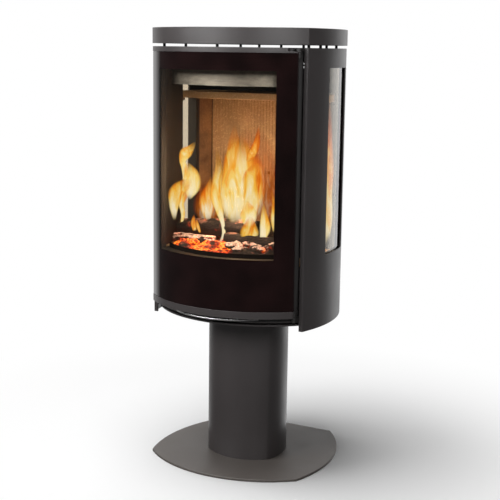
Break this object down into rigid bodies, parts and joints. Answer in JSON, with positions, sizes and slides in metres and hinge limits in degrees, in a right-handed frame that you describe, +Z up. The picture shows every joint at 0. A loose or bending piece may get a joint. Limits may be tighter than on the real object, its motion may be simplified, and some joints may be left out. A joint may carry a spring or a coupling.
{
  "type": "wood burning stove",
  "caption": "Free-standing wood stove on a slim pedestal: curved glass door, side windows, lined firebox, floating lid, rear flue outlet.",
  "frame": {"origin": "on the floor, under the middle of the outer box", "axes": "+Z up; the door faces -Y; +X is on the right of someone who stands in front and looks at the door, and the door is hinged on that side"},
  "size_m": [0.4718, 0.475, 1.12],
  "materials": {
    "body_paint": "matt heat-resistant stove paint",
    "base_paint": "matt heat-resistant stove paint",
    "dark_steel": "matt heat-resistant paint inside the stove",
    "grey_steel": "heat-tinted rolled steel",
    "handle_steel": "brushed stainless",
    "zinc_steel": "zinc plated",
    "fire_board": "pressed vermiculite board",
    "grate_iron": "raw cast",
    "door_ceramic_glass": "clear ceramic glass with a black printed border",
    "side_ceramic_glass": "clear ceramic glass",
    "rope": "woven glass-fibre rope"
  },
  "bodies": {
    "root": {"base_plate": "base_paint", "column_shell": "body_paint", "column_rear_cover": "body_paint", "bottom_plate": "body_paint", "lower_deck": "body_paint", "side_panel_right": "body_paint", "side_panel_left": "body_paint", "back_panel": "body_paint", "top_plate": "body_paint", "lid": "body_paint", "lid_disc": "body_paint", "column_foot_flange": "dark_steel", "column_top_flange": "dark_steel", "shelf_spacers": "dark_steel", "lid_spacers": "dark_steel", "lid_brackets": "dark_steel", "firebox_shell": "dark_steel", "firebox_floor": "dark_steel", "firebox_top": "dark_steel", "top_flue_blank": "dark_steel", "front_plate": "dark_steel", "smoke_box": "dark_steel", "flue_collar": "dark_steel", "hearth_sill": "dark_steel", "ash_pan_rails": "dark_steel", "side_window_posts": "dark_steel", "smoke_shelf": "dark_steel", "hinge_brackets": "dark_steel", "air_spigot": "dark_steel", "side_glass_clips": "dark_steel", "air_deflector": "grey_steel", "log_guard": "grey_steel", "ash_pan": "grey_steel", "baffle_pegs": "grey_steel", "hinge_pins": "handle_steel", "column_bolts": "zinc_steel", "column_cover_screws": "zinc_steel", "back_panel_screws": "zinc_steel", "lever_pivot": "zinc_steel", "back_lining": "fire_board", "side_lining_right": "fire_board", "side_lining_left": "fire_board", "floor_lining": "fire_board", "baffle": "fire_board", "grate": "grate_iron", "side_glass_right": "side_ceramic_glass", "side_glass_left": "side_ceramic_glass", "side_glass_seals": "rope"},
    "door": {"door_frame": "dark_steel", "door_glass": "door_ceramic_glass", "glass_tape": "rope", "door_seal": "rope", "door_top_trim": "body_paint", "door_bottom_trim": "body_paint", "glass_clips": "dark_steel", "door_handle": "handle_steel", "handle_brackets": "dark_steel", "hinge_ears": "dark_steel"},
    "air_control": {"air_lever": "grey_steel", "lever_tab": "body_paint"}
  },
  "joints": [
    {"name": "door_swing", "type": "hinge", "parent": "root", "child": "door", "pos_m": [0.199, -0.1415, 0.74], "axis": [0, 0, 1], "range_deg": [0, 100], "stiffness_Nm_per_rad": 1.5, "springref_deg": -11.46},
    {"name": "air_lever_swing", "type": "hinge", "parent": "root", "child": "air_control", "pos_m": [0, 0.0705, 0.402], "axis": [0, 0, 1], "range_deg": [-11, 11]}
  ]
}
